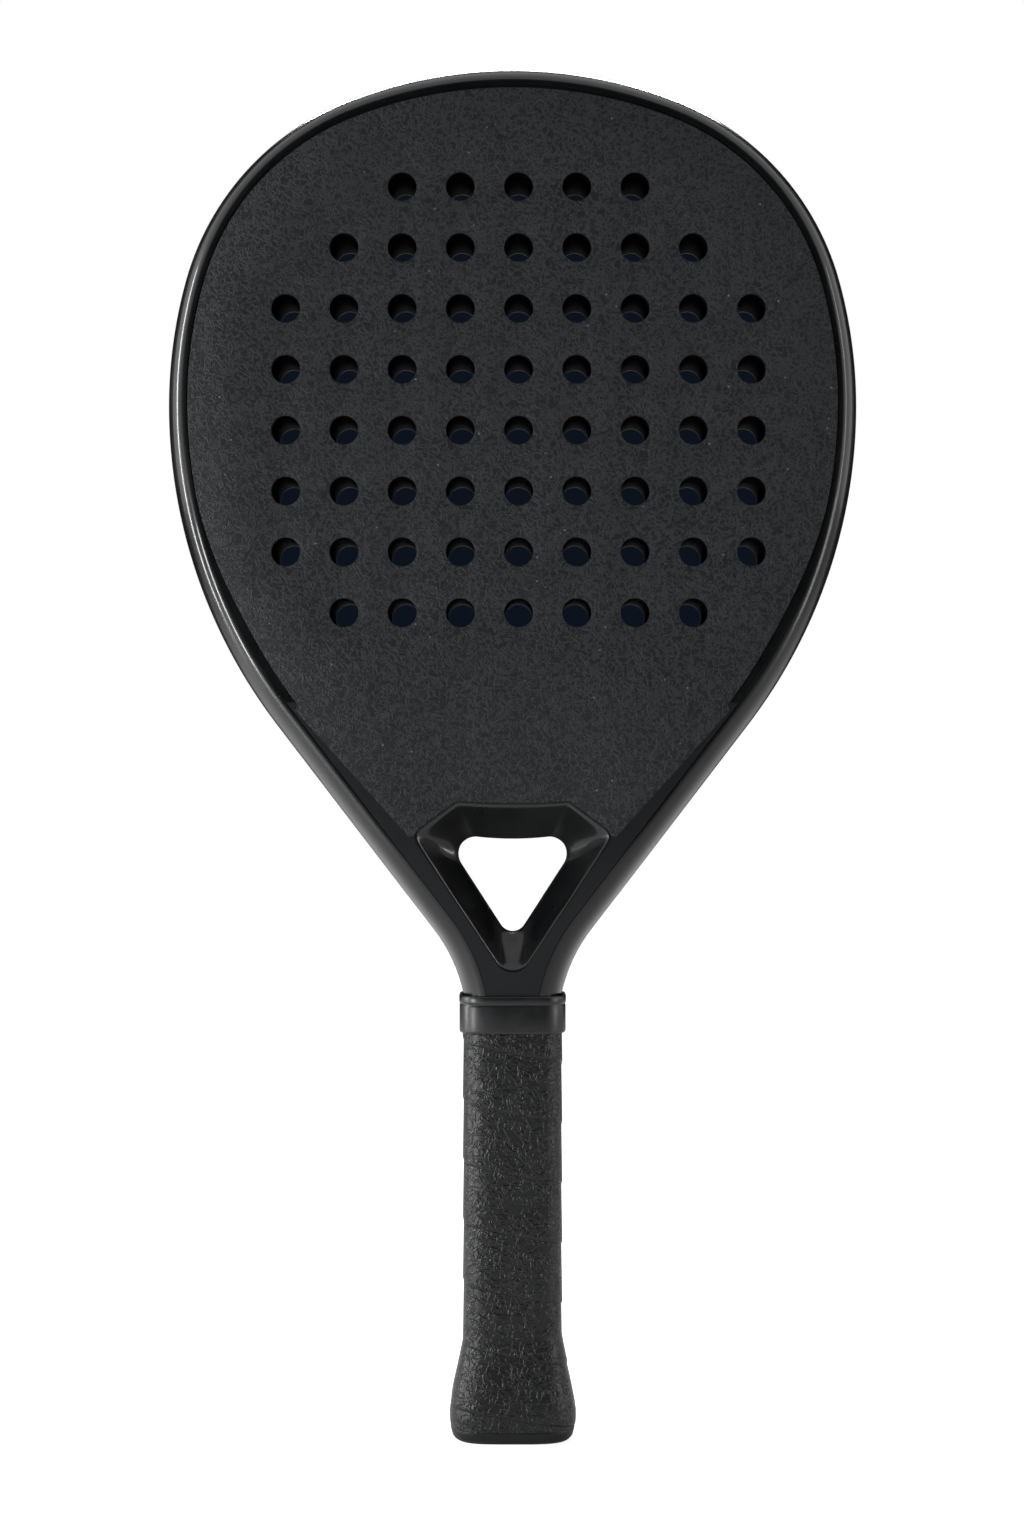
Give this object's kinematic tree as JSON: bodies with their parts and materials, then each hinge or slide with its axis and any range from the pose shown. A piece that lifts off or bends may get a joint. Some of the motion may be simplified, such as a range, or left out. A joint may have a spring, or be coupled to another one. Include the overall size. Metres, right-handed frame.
{
  "type": "padel racket",
  "caption": "Upright padel racket with a perforated rounded head, an open bevelled throat, a wrapped handle and a flared butt cap.",
  "frame": {"origin": "centre of the butt's flat base, on the handle's axis", "axes": "+Z from the butt up the handle to the crown of the head, +X across the head to the right as the front is seen, +Y out of the back face, front face towards -Y"},
  "size_m": [0.2292, 0.038, 0.455],
  "materials": {
    "gloss_laminate": "glossy black lacquer over carbon laminate",
    "satin_laminate": "satin black laminate",
    "matte_laminate": "matte charcoal textured laminate",
    "glass_laminate": "pale glass fibre laminate",
    "eva_foam": "closed-cell foam, dark",
    "filler_foam": "rigid expanded foam, pale",
    "tape": "thin black tape",
    "grip_wrap": "black perforated polyurethane strip",
    "collar_rubber": "soft black rubber",
    "cap_plastic": "moulded black plastic",
    "staple_steel": "drawn steel wire"
  },
  "bodies": {
    "root": {"frame_tube": "gloss_laminate", "tube_fill": "filler_foam", "core_slab": "eva_foam", "front_skin": "matte_laminate", "back_skin": "matte_laminate", "front_ply": "glass_laminate", "back_ply": "glass_laminate", "yoke_plate_front": "satin_laminate", "yoke_plate_back": "satin_laminate", "throat_liner_front": "gloss_laminate", "throat_liner_back": "gloss_laminate", "throat_core": "filler_foam", "handle_web": "filler_foam", "handle_pallet_front": "filler_foam", "handle_pallet_back": "filler_foam", "base_grip": "tape", "overgrip": "grip_wrap", "finishing_tape": "tape", "grip_collar": "collar_rubber", "butt_cap": "cap_plastic", "cap_staples": "staple_steel"}
  },
  "joints": []
}
